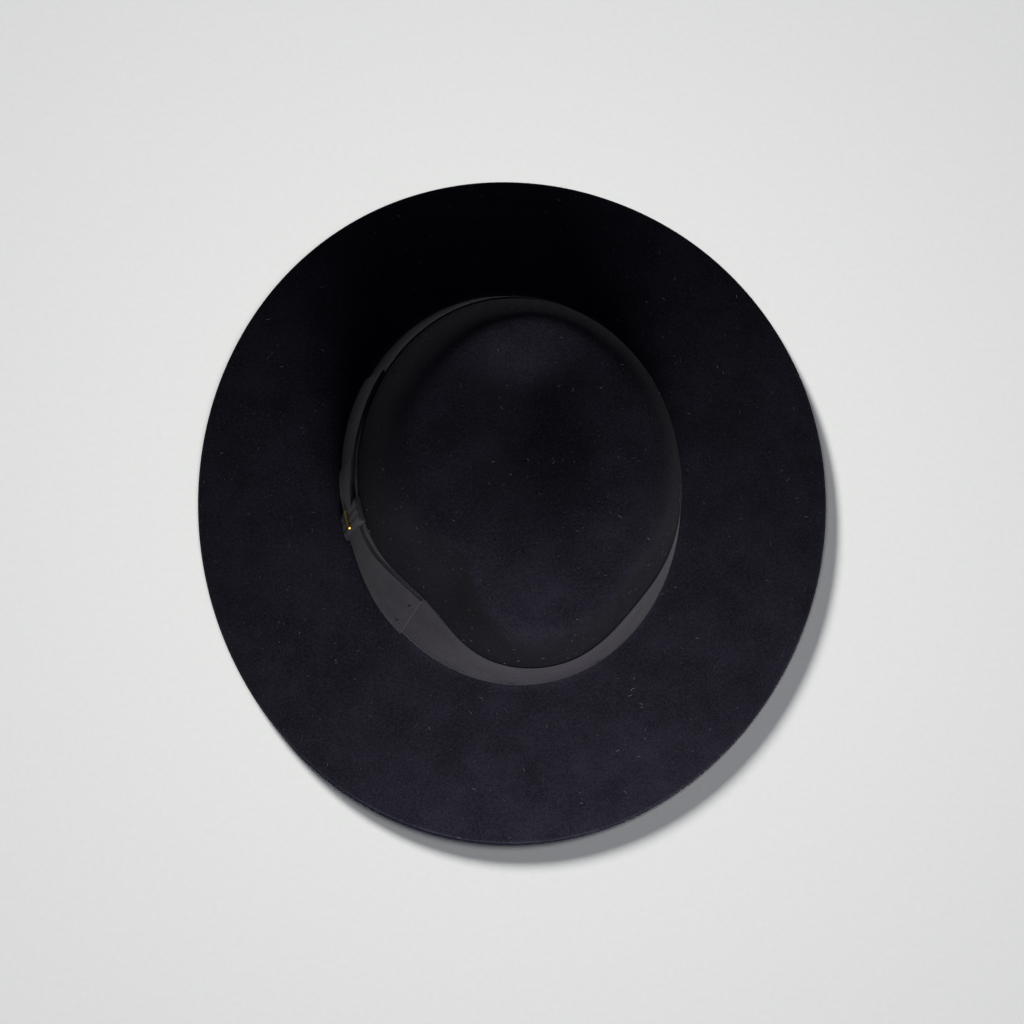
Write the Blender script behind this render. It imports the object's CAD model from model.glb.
# %% [markdown]
# # A wide-brimmed felt fedora
# This lesson dresses a hat whose parts were already designed at their real size. The design comes in as a
# fixed frame: every part sits at the origin with its place in its mesh, in metres, the front of the hat
# towards -Y and its bow on -X. Each cell makes one piece or one finish, and says how the real one is made.

# %% Load the frame
import math

import bpy
import numpy as np
from mathutils import Matrix, Vector, noise
from mathutils.bvhtree import BVHTree


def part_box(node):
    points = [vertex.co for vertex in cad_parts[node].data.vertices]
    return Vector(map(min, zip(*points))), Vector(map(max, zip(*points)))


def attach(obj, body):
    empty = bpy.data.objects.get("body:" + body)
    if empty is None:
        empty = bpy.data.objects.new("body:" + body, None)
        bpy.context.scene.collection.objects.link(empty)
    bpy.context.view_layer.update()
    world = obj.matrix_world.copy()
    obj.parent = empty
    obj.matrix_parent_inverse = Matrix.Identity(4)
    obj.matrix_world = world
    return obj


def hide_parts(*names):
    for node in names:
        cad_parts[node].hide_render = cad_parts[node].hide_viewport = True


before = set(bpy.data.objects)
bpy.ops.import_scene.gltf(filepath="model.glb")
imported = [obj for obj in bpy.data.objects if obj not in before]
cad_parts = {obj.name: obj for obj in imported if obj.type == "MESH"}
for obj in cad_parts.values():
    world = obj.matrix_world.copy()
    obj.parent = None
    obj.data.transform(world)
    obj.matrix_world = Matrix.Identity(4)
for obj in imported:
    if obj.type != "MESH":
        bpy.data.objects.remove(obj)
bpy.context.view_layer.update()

MM = 0.001

# %% [markdown]
# ## Where things are
# The ribbon of the band runs level round the crown, so the lowest and highest corners of its box give the
# heights of its two edges. Its middle is the middle of the crown. All other heights on the crown are
# counted from the break, the line where crown and brim meet, 2.5 mm under the ribbon.

# %% Places taken from the frame
band_low_corner, band_high_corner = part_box("hatband")
BAND_LIFT = 2.5 * MM
BREAK_Z = band_low_corner[2] - BAND_LIFT
BAND_LOW = BAND_LIFT
BAND_HIGH = band_high_corner[2] - BREAK_Z
BAND_MIDDLE = (BAND_LOW + BAND_HIGH) / 2
AXIS_X = (band_low_corner[0] + band_high_corner[0]) / 2
AXIS_Y = (band_low_corner[1] + band_high_corner[1]) / 2
FELT_THICK = 2.2 * MM
RIBBON_THICK = 0.65 * MM
CLOTH_GAP = 0.15 * MM
print(f"break at {BREAK_Z / MM:.1f} mm, ribbon {1000 * (BAND_HIGH - BAND_LOW):.1f} mm wide")

# %% [markdown]
# ## Reading the designed felt
# The designed felt is many loose triangles, which is exact but makes poor shading. We read it instead: rays
# shot at it from outside tell where its surface is, and we lay our own even net of four-sided faces on it.
# Rays need a suitable direction on every stretch: straight down on the brim, level on the crown's wall, and
# a fan about a pivot where one turns into the other.

# %% A ray that reads the felt
felt_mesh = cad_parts["felt_body"].data
felt_tree = BVHTree.FromPolygons(
    [vertex.co.copy() for vertex in felt_mesh.vertices],
    [tuple(polygon.vertices) for polygon in felt_mesh.polygons])
FAR = 0.5


def first_hit(target, towards):
    """The first point of the felt met on the way from far out along towards, back to the target."""
    towards = Vector(towards).normalized()
    return felt_tree.ray_cast(Vector(target) + towards * FAR, -towards)[0]


def outward(turn):
    """The level direction at a turn, counted from the front and growing towards +X."""
    return Vector((math.sin(turn), -math.cos(turn), 0))


def on_spoke(turn, reach, height):
    """A point at a distance from the crown's axis and at a height over the break."""
    flat = outward(turn) * reach
    return Vector((AXIS_X + flat.x, AXIS_Y + flat.y, BREAK_Z + height))


def reach_of(point):
    """How far a point is from the crown's axis."""
    return math.hypot(point[0] - AXIS_X, point[1] - AXIS_Y)


# %% [markdown]
# ## The rows of the net
# One spoke of the net starts at the brim's cut edge, runs up the brim, round the break, up the wall, over
# the shoulder and across the top to the middle. The edge itself is found by halving: a ray straight down
# either meets the brim or misses it.

# %% One spoke of the felt's outer face
SPOKES = 128
BRIM_ROWS = 14
BREAK_FAN = 6
BREAK_PIVOT = 9 * MM
WALL_HEIGHTS = [height * MM for height in (15, 22, 29, 36, 43, 50, 57, 64)]
SHOULDER_FAN = 10
SHOULDER_PIVOT = 30 * MM
TOP_ROWS = 10
UP = Vector((0, 0, 1))


def edge_reach(turn):
    """How far out the brim's edge is, by halving."""
    inside, outside = 0.12, 0.24
    for _ in range(18):
        middle = (inside + outside) / 2
        if first_hit(on_spoke(turn, middle, 0), UP):
            inside = middle
        else:
            outside = middle
    return inside


def spoke_points(turn):
    """The points of one spoke, from the brim's edge to near the middle of the top."""
    out = outward(turn)
    wall_foot = reach_of(first_hit(on_spoke(turn, 0, BREAK_PIVOT), out))
    brim_start = wall_foot + BREAK_PIVOT
    edge = edge_reach(turn) - 0.02 * MM
    points = []
    for row in range(BRIM_ROWS):
        reach = edge + (brim_start - edge) * row / BRIM_ROWS
        points.append(first_hit(on_spoke(turn, reach, 0), UP))
    pivot = on_spoke(turn, brim_start, BREAK_PIVOT)
    for row in range(BREAK_FAN + 1):
        angle = math.pi / 2 * row / BREAK_FAN
        way = -UP * math.cos(angle) - out * math.sin(angle)
        points.append(felt_tree.ray_cast(pivot, way)[0])
    for height in WALL_HEIGHTS:
        points.append(first_hit(on_spoke(turn, 0, height), out))
    inner_reach = reach_of(points[-1]) - SHOULDER_PIVOT
    pivot = on_spoke(turn, inner_reach, WALL_HEIGHTS[-1])
    for row in range(1, SHOULDER_FAN + 1):
        angle = math.pi / 2 * row / SHOULDER_FAN
        points.append(first_hit(pivot, out * math.cos(angle) + UP * math.sin(angle)))
    for row in range(1, TOP_ROWS):
        points.append(first_hit(on_spoke(turn, inner_reach * (1 - row / TOP_ROWS), 0), UP))
    return points


turns = [2 * math.pi * spoke / SPOKES for spoke in range(SPOKES)]
read_net = np.array([[list(point) for point in spoke_points(turn)] for turn in turns])
print("net read:", read_net.shape, "missing:", int(np.isnan(read_net).sum()))

# %% [markdown]
# ## Smooth without losing the shape
# Round the hat every row is a closed wave, so a Fourier sum with its finest waves left out removes the
# marks of the triangles. Subdivision later rounds a net off a little, so each row is first pushed the other
# way by a sixth of its bend, and the finished surface passes the points that were read.

# %% Fourier smoothing and sharpening
WAVES = 40


def smooth_round(points, count=None):
    """Closed rows through the first axis, without their finest waves, at count places."""
    size_in = points.shape[0]
    count = count or size_in
    waves = np.fft.rfft(points, axis=0)
    kept = np.zeros((count // 2 + 1,) + points.shape[1:], dtype=complex)
    top = min(WAVES, waves.shape[0] - 1)
    kept[:top] = waves[:top]
    return np.fft.irfft(kept, n=count, axis=0) * (count / size_in)


def sharpened(points):
    """The control net whose subdivided surface passes the points."""
    bend_round = np.roll(points, 1, axis=0) + np.roll(points, -1, axis=0) - 2 * points
    net = points - bend_round / 6
    bend_along = np.zeros_like(net)
    bend_along[:, 1:-1] = net[:, :-2] + net[:, 2:] - 2 * net[:, 1:-1]
    return net - bend_along / 6


def normals_of(net, closed=True):
    """Outward directions at the points of a net of spokes and rows."""
    if closed:
        around = np.roll(net, -1, axis=0) - np.roll(net, 1, axis=0)
    else:
        around = np.gradient(net, axis=0)
    along = np.gradient(net, axis=1)
    normal = np.cross(around, along)
    return normal / np.linalg.norm(normal, axis=2, keepdims=True)


outer_net = smooth_round(read_net)
outer_normals = normals_of(outer_net)
print("largest move by smoothing, mm:", round(float(np.abs(outer_net - read_net).max() / MM), 3))

# %% [markdown]
# ## Three helpers for making things
# Every finish below is a small network of nodes, so one helper adds a node with its settings and links.
# Colours are written as sRGB hex, the way a maker notes them, and turned to linear light here. A third
# helper makes a material and hands back its tree and its shader.

# %% Helpers for colours, nodes and materials
def linear(code):
    """An sRGB hex colour as linear red, green, blue and alpha."""
    parts = [int(code[place:place + 2], 16) / 255 for place in (1, 3, 5)]
    return [part / 12.92 if part <= 0.04045 else ((part + 0.055) / 1.055) ** 2.4 for part in parts] + [1.0]


def add(tree, kind, settings=None, links=None):
    """Adds a node; settings are its properties or, by socket, its values; links are by socket."""
    made = tree.nodes.new(kind)
    for key, value in (settings or {}).items():
        if isinstance(key, int) or key in made.inputs:
            made.inputs[key].default_value = value
        else:
            setattr(made, key, value)
    for key, socket in (links or {}).items():
        tree.links.new(socket, made.inputs[key])
    return made


def new_material(name, **shader_values):
    """A material with a bare shader: its tree, the shader and the material."""
    material = bpy.data.materials.new(name)
    material.use_nodes = True
    tree = material.node_tree
    tree.nodes.clear()
    shader = add(tree, "ShaderNodeBsdfPrincipled", {
        key.replace("_", " "): value for key, value in shader_values.items()})
    add(tree, "ShaderNodeOutputMaterial", links={"Surface": shader.outputs[0]})
    return tree, shader, material


# %% [markdown]
# ## Fur felt
# The hat's body is fur felt: fine animal hair matted into a sheet, dyed black and brushed, which leaves a
# short nap. The eye sees a deep black with almost no gloss, a soft grey bloom where the nap stands against
# the light, and a fine mottle. The bloom is sheen. The mottle comes from two noises, one as fine as tufts
# of nap, about 1 mm, and one as wide as the strokes of a brush, about 25 mm. Where the felt is steep the nap
# lies down, so colour and bloom fade there, down to a third on an upright wall.

# %% The felt's material
def noise_of(tree, coordinates, feature_mm, detail=3.0, rough=0.6):
    """A noise whose features are about so many millimetres wide, on coordinates in metres."""
    settings = {"Scale": 1000 / feature_mm, "Detail": detail, "Roughness": rough}
    return add(tree, "ShaderNodeTexNoise", settings, {"Vector": coordinates})


def ramp_of(tree, factor, stops):
    """Colours along a factor; stops are places and hex colours."""
    ramp = add(tree, "ShaderNodeValToRGB", links={"Fac": factor})
    elements = ramp.color_ramp.elements
    while len(elements) < len(stops):
        elements.new(0.5)
    for element, (place, code) in zip(elements, stops):
        element.position = place
        element.color = linear(code)
    return ramp


def bump_of(tree, height, depth_mm, strength=1.0, normal=None):
    """Turns a height of 0 to 1 into small relief of so many millimetres."""
    links = {"Height": height}
    if normal:
        links["Normal"] = normal
    return add(tree, "ShaderNodeBump", {"Strength": strength, "Distance": depth_mm * MM}, links)


NAP_DOWN = 0.32


def felt_material(name, dark, light, bloom, bloom_rough):
    """Felt in two near blacks with a bloom; colour and bloom both fade on steep faces."""
    tree, shader, material = new_material(
        name, Roughness=0.92, Specular_IOR_Level=0.05, Sheen_Weight=bloom, Sheen_Roughness=bloom_rough)
    shader.inputs["Sheen Tint"].default_value = linear("#C9C6D6")
    place = add(tree, "ShaderNodeTexCoord").outputs["Object"]
    tufts = noise_of(tree, place, 1.1)
    strokes = noise_of(tree, place, 25, detail=2.0)
    both = add(tree, "ShaderNodeMix", {"Factor": 0.35}, {2: tufts.outputs[0], 3: strokes.outputs[0]})
    colour = ramp_of(tree, both.outputs[0], [(0.38, dark), (0.62, light)])
    steep = add(tree, "ShaderNodeSeparateXYZ", links={0: add(tree, "ShaderNodeTexCoord").outputs["Normal"]})
    flatness = add(tree, "ShaderNodeMath", {"operation": "ABSOLUTE"}, {0: steep.outputs["Z"]})
    nap_range = {"From Min": 0.15, "From Max": 0.97, "To Min": NAP_DOWN, "To Max": 1.0}
    lying = add(tree, "ShaderNodeMapRange", nap_range, {"Value": flatness.outputs[0]})
    brushed = add(tree, "ShaderNodeVectorMath", {"operation": "SCALE"},
                  {"Vector": colour.outputs[0], "Scale": lying.outputs[0]})
    tree.links.new(brushed.outputs[0], shader.inputs["Base Color"])
    haze = add(tree, "ShaderNodeMath", {"operation": "MULTIPLY", 1: bloom}, {0: lying.outputs[0]})
    tree.links.new(haze.outputs[0], shader.inputs["Sheen Weight"])
    hairs = noise_of(tree, place, 0.5, detail=4.0, rough=0.7)
    relief = bump_of(tree, hairs.outputs[0], 0.25, 0.7)
    tree.links.new(relief.outputs[0], shader.inputs["Normal"])
    return material


fur_felt = felt_material("black_fur_felt", "#121118", "#22212A", 0.06, 0.5)
cut_felt = felt_material("scissor_cut_felt", "#1B1A21", "#2C2B33", 0.1, 0.5)
print("felt:", fur_felt.name, cut_felt.name)

# %% [markdown]
# ## The felt body
# A hat body is one piece of felt, 2.2 mm thick, steamed over a block, and its brim's edge is simply cut. We
# lay the net as the outer face, step in by the thickness along its normals for the inner face, and close
# the cut edge with a few rows so that its corners come out slightly rounded, as scissors leave them. One
# level of subdivision makes the faces. A hand-blocked brim is never quite true, so a slow noise moves it by
# 0.2 mm.

# %% Build the felt body
EDGE_ROUND = 0.35 * MM


def make_object(name, points, faces, material_slots, smooth=True):
    """A mesh object from points and faces."""
    mesh = bpy.data.meshes.new(name)
    mesh.from_pydata([tuple(point) for point in points], [], faces)
    for material in material_slots:
        mesh.materials.append(material)
    if smooth:
        mesh.shade_smooth()
    made = bpy.data.objects.new(name, mesh)
    bpy.context.scene.collection.objects.link(made)
    return made


def volume_of(mesh):
    """Signed volume: below nought means that the faces point inwards."""
    total = 0.0
    for polygon in mesh.polygons:
        corners = [mesh.vertices[place].co for place in polygon.vertices]
        for second, third in zip(corners[1:-1], corners[2:]):
            total += corners[0].dot(second.cross(third)) / 6
    return total


def turn_outwards(made):
    """Flips a closed piece whose faces point inwards, and says its size."""
    if volume_of(made.data) < 0:
        made.data.flip_normals()
    print(f"{made.name}: {len(made.data.polygons)} faces, {volume_of(made.data) * 1e6:.2f} cm3")
    return made


def evaluated_mesh(made):
    """The object's mesh with its modifiers worked in, which are then removed."""
    graph = bpy.context.evaluated_depsgraph_get()
    mesh = bpy.data.meshes.new_from_object(made.evaluated_get(graph))
    made.modifiers.clear()
    made.data = mesh
    return made


def ring_faces(rows, spokes):
    """Four-sided faces between rows of a closed net whose points run along each spoke."""
    faces = []
    for spoke in range(spokes):
        after = (spoke + 1) % spokes
        for row in range(rows - 1):
            here, there = spoke * rows + row, after * rows + row
            faces.append((here, there, there + 1, here + 1))
    return faces


wander = np.zeros(outer_net.shape[:2])
for spoke in range(SPOKES):
    for row in range(BRIM_ROWS):
        place = Vector(outer_net[spoke, row]) / (60 * MM)
        wander[spoke, row] = 0.2 * MM * noise.noise(place) * (1 - row / BRIM_ROWS)
felt_outer = outer_net + outer_normals * wander[:, :, None]
felt_inner = felt_outer - outer_normals * FELT_THICK
out_ways = np.array([list(outward(turn)) for turn in turns])[:, None, :]
rim_rows = []
for depth, inset in ((0.0, EDGE_ROUND), (0.12, 0.03 * MM), (0.5, 0.0), (0.88, 0.03 * MM), (1.0, EDGE_ROUND)):
    at_depth = felt_outer[:, :1] - outer_normals[:, :1] * FELT_THICK * depth
    rim_rows.append(at_depth - out_ways * inset)
chain = np.concatenate(
    [sharpened(felt_inner)[:, :0:-1]] + rim_rows[::-1] + [sharpened(felt_outer)[:, 1:]], axis=1)
ROWS_IN_CHAIN = chain.shape[1]
points = chain.reshape(-1, 3)
faces = ring_faces(ROWS_IN_CHAIN, SPOKES)
caps = []
for row in (0, ROWS_IN_CHAIN - 1):
    caps.append(chain[:, row].mean(axis=0))
points = np.concatenate([points, np.array(caps)])
for spoke in range(SPOKES):
    after = (spoke + 1) % SPOKES
    faces.append((len(points) - 2, after * ROWS_IN_CHAIN, spoke * ROWS_IN_CHAIN))
    last = ROWS_IN_CHAIN - 1
    faces.append((len(points) - 1, spoke * ROWS_IN_CHAIN + last, after * ROWS_IN_CHAIN + last))
felt = make_object("felt_hat_body", points, faces, [fur_felt, cut_felt])
inner_rows = felt_inner.shape[1] - 1
for number, polygon in enumerate(felt.data.polygons):
    row = number % (ROWS_IN_CHAIN - 1) if number < SPOKES * (ROWS_IN_CHAIN - 1) else 0
    polygon.material_index = 1 if inner_rows <= row < inner_rows + 4 else 0
turn_outwards(felt)
smoothing = felt.modifiers.new("smoothing", "SUBSURF")
smoothing.levels = 1
smoothing.render_levels = 1
evaluated_mesh(felt)
felt.data.shade_smooth()
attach(felt, "root")
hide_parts("felt_body")
print("felt faces after smoothing:", len(felt.data.polygons))

# %% [markdown]
# ## The crown's wall as a map
# Ribbon, leather and satin all lie on the crown's wall at their own distance from the felt. So the wall is
# read once into a table of turns and heights, and one function gives the point at any turn, height and
# distance. It blends the sixteen nearest readings with Catmull-Rom weights, which pass through them without
# corners.

# %% Read the wall and look up places on it
MAP_TURNS = 256
MAP_STEP = 2.5 * MM
MAP_FOOT = 1.0 * MM
MAP_ROWS = 26
NEAR_TURN = 0.004
NEAR_HEIGHT = 0.4 * MM

map_readings = []
for step in range(MAP_TURNS):
    turn = 2 * math.pi * step / MAP_TURNS
    levels = [on_spoke(turn, 0, MAP_FOOT + MAP_STEP * row) for row in range(MAP_ROWS)]
    map_readings.append([list(first_hit(level, outward(turn))) for level in levels])
wall_map = smooth_round(np.array(map_readings))


def four_weights(share):
    """Catmull-Rom weights of the four readings round a place."""
    square, cube = share ** 2, share ** 3
    return (-share / 2 + square - cube / 2, 1 - 2.5 * square + 1.5 * cube,
            share / 2 + 2 * square - 1.5 * cube, (cube - square) / 2)


def wall_face(turn, height):
    """Points of the felt's outer face at arrays of turns and heights over the break."""
    column = turn / (2 * math.pi) * MAP_TURNS
    row = np.clip((height - MAP_FOOT) / MAP_STEP, 0, MAP_ROWS - 1.001)
    first_column, first_row = np.floor(column).astype(int), np.floor(row).astype(int)
    total = 0
    for across, weight in enumerate(four_weights(column - first_column)):
        for up, other_weight in enumerate(four_weights(row - first_row)):
            places = (first_column + across - 1) % MAP_TURNS, np.clip(first_row + up - 1, 0, MAP_ROWS - 1)
            total = total + (weight * other_weight)[..., None] * wall_map[places]
    return total


def wall(turn, height, out):
    """Points at a distance out from the felt's outer face; inside the hat the distance is negative."""
    turn, height, out = np.broadcast_arrays(np.asarray(turn, float), height, out)
    kept = np.clip(height, MAP_FOOT + NEAR_HEIGHT, MAP_FOOT + MAP_STEP * (MAP_ROWS - 1.2))
    around = wall_face(turn + NEAR_TURN, kept) - wall_face(turn - NEAR_TURN, kept)
    upward = wall_face(turn, kept + NEAR_HEIGHT) - wall_face(turn, kept - NEAR_HEIGHT)
    way = np.cross(around, upward)
    way /= np.linalg.norm(way, axis=-1, keepdims=True)
    return wall_face(turn, kept) + way * out[..., None] + np.array(UP) * (height - kept)[..., None]


def node_turns(node):
    """The turns of a designed part's points, counted from the bow's knot."""
    points = np.array([list(vertex.co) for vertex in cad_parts[node].data.vertices])
    turn = np.arctan2(points[:, 0] - AXIS_X, AXIS_Y - points[:, 1])
    return (turn - KNOT_TURN + math.pi) % (2 * math.pi) - math.pi


KNOT_TURN = 0.0
knot_turns = node_turns("bow_knot")
KNOT_TURN = float(knot_turns.min() + knot_turns.max()) / 2
ring_turns = np.linspace(-math.pi, math.pi, 2001)
ring = wall(ring_turns + KNOT_TURN, BAND_MIDDLE, RIBBON_THICK)
ring_steps = np.linalg.norm(np.diff(ring, axis=0), axis=1)
ring_lengths = np.concatenate([[0.0], np.cumsum(ring_steps)])
BAND_LENGTH = float(ring_lengths[-1])
ring_lengths -= np.interp(0.0, ring_turns, ring_lengths)


def turn_at(length):
    """The turn at a length along the band from the middle of the knot."""
    return np.interp(length, ring_lengths, ring_turns) + KNOT_TURN


def lengths_of(node):
    """Where a designed part starts and ends along the band."""
    found = np.interp(node_turns(node), ring_turns, ring_lengths)
    return float(found.min()), float(found.max())


print(f"band {BAND_LENGTH / MM:.0f} mm round; knot at turn {math.degrees(KNOT_TURN):.1f} degrees")

# %% [markdown]
# ## Cloth with a thickness
# Every ribbon, strap and lining here is a net of points with a thickness: one face to each side of the net
# and a narrow rim between them. The way along the ribbon is kept on every point, in metres, for its ribs.

# %% A closed piece of cloth about a net
def cloth(name, net, thickness, material, closed=False, capped=False, along=None):
    """A closed piece of even thickness about a net of columns and rows."""
    columns, rows = net.shape[:2]
    normals = normals_of(net, closed)
    half = normals * thickness / 2
    points = np.concatenate([(net + half).reshape(-1, 3), (net - half).reshape(-1, 3)])
    back = columns * rows
    faces = []
    for column in range(columns if closed else columns - 1):
        after = (column + 1) % columns
        for row in range(rows - 1):
            here, there = column * rows + row, after * rows + row
            faces.append((here, there, there + 1, here + 1))
            faces.append((back + here, back + here + 1, back + there + 1, back + there))
        low, low_after = column * rows, after * rows
        high, high_after = low + rows - 1, low_after + rows - 1
        faces.append((low, back + low, back + low_after, low_after))
        if capped:
            faces.append((high, high_after, 2 * back))
            faces.append((back + high, 2 * back + 1, back + high_after))
        else:
            faces.append((high, high_after, back + high_after, back + high))
    if not closed:
        last = (columns - 1) * rows
        for row in range(rows - 1):
            faces.append((row, row + 1, back + row + 1, back + row))
            faces.append((last + row, back + last + row, back + last + row + 1, last + row + 1))
    if capped:
        centre = net[:, -1].mean(axis=0)
        lift = half[:, -1].mean(axis=0)
        points = np.concatenate([points, [centre + lift, centre - lift]])
    made = make_object(name, points, faces, [material])
    if along is not None:
        way = made.data.attributes.new("along", "FLOAT", "POINT")
        way.data.foreach_set("value", np.concatenate([along.ravel(), along.ravel()]).astype(np.float32))
    return turn_outwards(made)


def finish_piece(made, slot, *nodes):
    """Rides the piece on the hat, says which designed parts it stands for and whose finish it takes."""
    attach(made, "root")
    if nodes:
        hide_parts(*nodes)
    return made


# %% [markdown]
# ## Grosgrain
# The ribbon is grosgrain: thin warp threads packed over thick weft cords, so it has a rib about every
# millimetre across its width and a quiet, slightly silky black that looks grey beside the felt. The ribs
# are real relief here, because they catch the light at the edges. Geometry Nodes lift every point by a
# rounded wave of the way along the ribbon; the pitch and the height are inputs, so every ribbon uses the
# same tree.

# %% The rib tree
RIB_PITCH = 1.05 * MM
RIB_HEIGHT = 0.22 * MM
COLUMNS_PER_RIB = 6


def new_tree(name, inputs):
    """A Geometry Nodes tree with a geometry input, named inputs and its group nodes."""
    tree = bpy.data.node_groups.new(name, "GeometryNodeTree")
    tree.interface.new_socket("Geometry", in_out="INPUT", socket_type="NodeSocketGeometry")
    for label, kind in inputs:
        tree.interface.new_socket(label, in_out="INPUT", socket_type=kind)
    tree.interface.new_socket("Geometry", in_out="OUTPUT", socket_type="NodeSocketGeometry")
    return tree, add(tree, "NodeGroupInput").outputs


def close_tree(tree, geometry, material):
    """Ends a tree in real mesh with its material."""
    real = add(tree, "GeometryNodeRealizeInstances", links={"Geometry": geometry})
    painted = add(tree, "GeometryNodeSetMaterial", links={"Geometry": real.outputs[0], "Material": material})
    add(tree, "NodeGroupOutput", links={"Geometry": painted.outputs[0]})


def math_node(tree, operation, first, second=None):
    """One sum of the tree; each side is a socket or a number."""
    sides = {place: side for place, side in enumerate((first, second)) if side is not None}
    numbers = {place: side for place, side in sides.items() if isinstance(side, (int, float))}
    sockets = {place: side for place, side in sides.items() if place not in numbers}
    return add(tree, "ShaderNodeMath", {"operation": operation, **numbers}, sockets).outputs[0]


rib_tree, given = new_tree("grosgrain_ribs", [
    ("Rib pitch", "NodeSocketFloat"), ("Rib height", "NodeSocketFloat"), ("Material", "NodeSocketMaterial")])
way = add(rib_tree, "GeometryNodeInputNamedAttribute", {"data_type": "FLOAT", "Name": "along"}).outputs[0]
turns_of_wave = math_node(rib_tree, "DIVIDE", way, given["Rib pitch"])
wave = math_node(rib_tree, "SINE", math_node(rib_tree, "MULTIPLY", turns_of_wave, math.pi))
rounded = math_node(rib_tree, "POWER", math_node(rib_tree, "ABSOLUTE", wave), 0.7)
lift = math_node(rib_tree, "MULTIPLY", rounded, given["Rib height"])
normal = add(rib_tree, "GeometryNodeInputNormal").outputs[0]
offset = add(rib_tree, "ShaderNodeVectorMath", {"operation": "SCALE"}, {"Vector": normal, "Scale": lift})
moved = add(rib_tree, "GeometryNodeSetPosition", links={
    "Geometry": given["Geometry"], "Offset": offset.outputs[0]})
close_tree(rib_tree, moved.outputs[0], given["Material"])


def grow(made, tree, **values):
    """Runs a tree on a piece with its inputs set by name, and keeps the result as plain mesh."""
    modifier = made.modifiers.new(tree.name, "NODES")
    modifier.node_group = tree
    identifiers = {
        item.name: item.identifier for item in tree.interface.items_tree if item.item_type == "SOCKET"}
    for label, value in values.items():
        modifier[identifiers[label.replace("_", " ")]] = value
    evaluated_mesh(made)
    made.data.shade_smooth()
    print(f"{made.name}: {len(made.data.polygons)} faces after {tree.name}")
    return made


def ribbed(made, height):
    """The grosgrain ribs, so high, on a piece that knows its way along."""
    return grow(made, rib_tree, Rib_pitch=RIB_PITCH, Rib_height=height, Material=grosgrain)


# %% [markdown]
# The ribbon's own finish is a dull silk: dark, with a broad highlight, a little sheen from the fibre ends
# and a grain of warp threads, about 0.45 mm wide, that breaks the highlight up. The grooves between the ribs
# are darker, which follows the way along the ribbon.

# %% The ribbon's material
def ribbon_material(name, dark, light):
    """Grosgrain in two near blacks."""
    tree, shader, material = new_material(
        name, Roughness=0.62, Specular_IOR_Level=0.22, Sheen_Weight=0.1, Sheen_Roughness=0.4)
    place = add(tree, "ShaderNodeTexCoord").outputs["Object"]
    threads = noise_of(tree, place, 0.45, detail=2.0)
    stains = noise_of(tree, place, 14, detail=1.0)
    both = add(tree, "ShaderNodeMix", {"Factor": 0.4}, {2: threads.outputs[0], 3: stains.outputs[0]})
    colour = ramp_of(tree, both.outputs[0], [(0.3, dark), (0.7, light)])
    way = add(tree, "ShaderNodeAttribute", {"attribute_name": "along"}).outputs["Fac"]
    phase = add(tree, "ShaderNodeMath", {"operation": "MULTIPLY", 1: math.pi / RIB_PITCH}, {0: way})
    swing = add(tree, "ShaderNodeMath", {"operation": "SINE"}, {0: phase.outputs[0]})
    crest = add(tree, "ShaderNodeMath", {"operation": "ABSOLUTE"}, {0: swing.outputs[0]})
    depth = add(tree, "ShaderNodeMapRange", {"From Min": 0.1, "From Max": 0.8, "To Min": 0.35, "To Max": 1.0},
                {"Value": crest.outputs[0]})
    shaded = add(tree, "ShaderNodeVectorMath", {"operation": "SCALE"},
                 {"Vector": colour.outputs[0], "Scale": depth.outputs[0]})
    tree.links.new(shaded.outputs[0], shader.inputs["Base Color"])
    relief = bump_of(tree, threads.outputs[0], 0.08, 0.6)
    tree.links.new(relief.outputs[0], shader.inputs["Normal"])
    return material


grosgrain = ribbon_material("silk_grosgrain", "#262329", "#35323A")

# %% [markdown]
# ## The band
# The band goes once round the crown, and its joint is under the bow. Its edges are woven selvedges, a
# little firmer than the middle, which we show as a row of points close to each edge that stands out by a
# tenth of a millimetre. Columns come six to a rib, so that each rib is round.

# %% Build the band
def ribbon_rows(low, high):
    """Heights of the rows across a ribbon: close at the selvedges, wide in the middle."""
    edge, inner = 0.5 * MM, 1.4 * MM
    middle = [low + (high - low) * share for share in (0.2, 0.4, 0.6, 0.8)]
    return np.array([low, low + edge, low + inner] + middle + [high - inner, high - edge, high])


SELVEDGE = 0.1 * MM
SELVEDGE_LIFT = np.array([0, SELVEDGE, 0, 0, 0, 0, 0, 0, SELVEDGE, 0])
CORE_THICK = RIBBON_THICK - RIB_HEIGHT
band_ribs = round(BAND_LENGTH / RIB_PITCH / 2) * 2
band_columns = band_ribs * COLUMNS_PER_RIB
band_way = ring_lengths[0] + np.arange(band_columns) * BAND_LENGTH / band_columns
band_rows = ribbon_rows(BAND_LOW, BAND_HIGH)
band_net = wall(turn_at(band_way)[:, None], band_rows[None, :],
                (CLOTH_GAP + RIBBON_THICK / 2 + SELVEDGE_LIFT)[None, :])
band_along = np.repeat(np.arange(band_columns)[:, None] * RIB_PITCH / COLUMNS_PER_RIB, len(band_rows), axis=1)
band_core = cloth("hatband_ribbon", band_net, CORE_THICK, grosgrain, closed=True, along=band_along)
hatband = ribbed(band_core, RIB_HEIGHT)
finish_piece(hatband, "grosgrain", "hatband")
print("ribs round the band:", band_ribs)

# %% [markdown]
# ## The two loops of the bow
# A flat hat bow is cut from the same ribbon: each loop is a length folded back on itself, gathered under
# the knot and tacked down at its fold. We follow the ribbon along its own length, out over the top layer,
# round the fold and back underneath, so one net makes both layers, and the ribs run through the fold. The
# front loop opens from the knot to nearly the ribbon's width and has one soft crease where it was pressed.

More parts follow.
